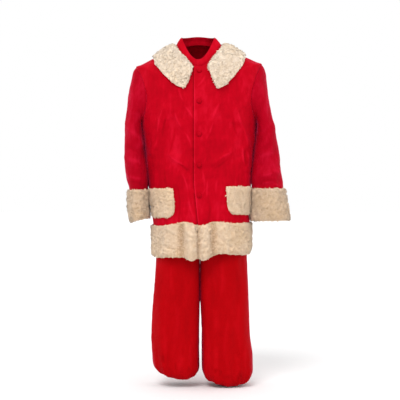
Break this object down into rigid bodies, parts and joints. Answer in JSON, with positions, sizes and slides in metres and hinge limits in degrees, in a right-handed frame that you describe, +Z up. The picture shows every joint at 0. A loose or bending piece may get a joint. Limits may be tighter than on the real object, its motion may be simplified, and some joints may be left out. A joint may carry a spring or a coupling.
{
  "type": "santa suit",
  "caption": "Two-piece santa suit in red velvet, hollow as worn: a hip-length jacket with cream pile collar, cuffs, pockets and hem band, and wide trousers gathered at the ankles",
  "frame": {"origin": "middle of the neck opening, level with the tops of the shoulder seams at the neck, where the wearer's neck and shoulders hold the suit", "axes": "+Z up, -Y the front of the suit, +X the wearer's left"},
  "size_m": [0.6923, 0.3312, 1.465],
  "materials": {
    "jacket_front_left_velvet": "soft velvet nap, matte with a faint sheen",
    "jacket_front_right_velvet": "soft velvet nap, matte with a faint sheen",
    "jacket_back_velvet": "soft velvet nap, matte with a faint sheen",
    "sleeve_left_velvet": "soft velvet nap, matte with a faint sheen",
    "sleeve_right_velvet": "soft velvet nap, matte with a faint sheen",
    "stand_collar_velvet": "soft velvet nap, matte with a faint sheen",
    "trouser_front_left_velvet": "soft velvet nap, matte with a faint sheen",
    "trouser_front_right_velvet": "soft velvet nap, matte with a faint sheen",
    "trouser_back_left_velvet": "soft velvet nap, matte with a faint sheen",
    "trouser_back_right_velvet": "soft velvet nap, matte with a faint sheen",
    "waistband_velvet": "soft velvet nap, matte with a faint sheen",
    "button_1_velvet": "soft velvet nap, matte with a faint sheen",
    "button_2_velvet": "soft velvet nap, matte with a faint sheen",
    "button_3_velvet": "soft velvet nap, matte with a faint sheen",
    "button_4_velvet": "soft velvet nap, matte with a faint sheen",
    "button_5_velvet": "soft velvet nap, matte with a faint sheen",
    "hem_fur_front_left_pile": "short curly artificial sheepskin pile, matte",
    "hem_fur_front_right_pile": "short curly artificial sheepskin pile, matte",
    "hem_fur_back_pile": "short curly artificial sheepskin pile, matte",
    "cuff_fur_left_pile": "short curly artificial sheepskin pile, matte",
    "cuff_fur_right_pile": "short curly artificial sheepskin pile, matte",
    "pocket_fur_left_pile": "short curly artificial sheepskin pile, matte",
    "pocket_fur_right_pile": "short curly artificial sheepskin pile, matte",
    "fur_collar_pile": "short curly artificial sheepskin pile, matte"
  },
  "bodies": {
    "root": {"jacket_front_left": "jacket_front_left_velvet", "jacket_front_right": "jacket_front_right_velvet", "jacket_back": "jacket_back_velvet", "sleeve_left": "sleeve_left_velvet", "sleeve_right": "sleeve_right_velvet", "stand_collar": "stand_collar_velvet", "trouser_front_left": "trouser_front_left_velvet", "trouser_front_right": "trouser_front_right_velvet", "trouser_back_left": "trouser_back_left_velvet", "trouser_back_right": "trouser_back_right_velvet", "waistband": "waistband_velvet", "button_1": "button_1_velvet", "button_2": "button_2_velvet", "button_3": "button_3_velvet", "button_4": "button_4_velvet", "button_5": "button_5_velvet", "hem_fur_front_left": "hem_fur_front_left_pile", "hem_fur_front_right": "hem_fur_front_right_pile", "hem_fur_back": "hem_fur_back_pile", "cuff_fur_left": "cuff_fur_left_pile", "cuff_fur_right": "cuff_fur_right_pile", "pocket_fur_left": "pocket_fur_left_pile", "pocket_fur_right": "pocket_fur_right_pile", "fur_collar": "fur_collar_pile"}
  },
  "joints": []
}
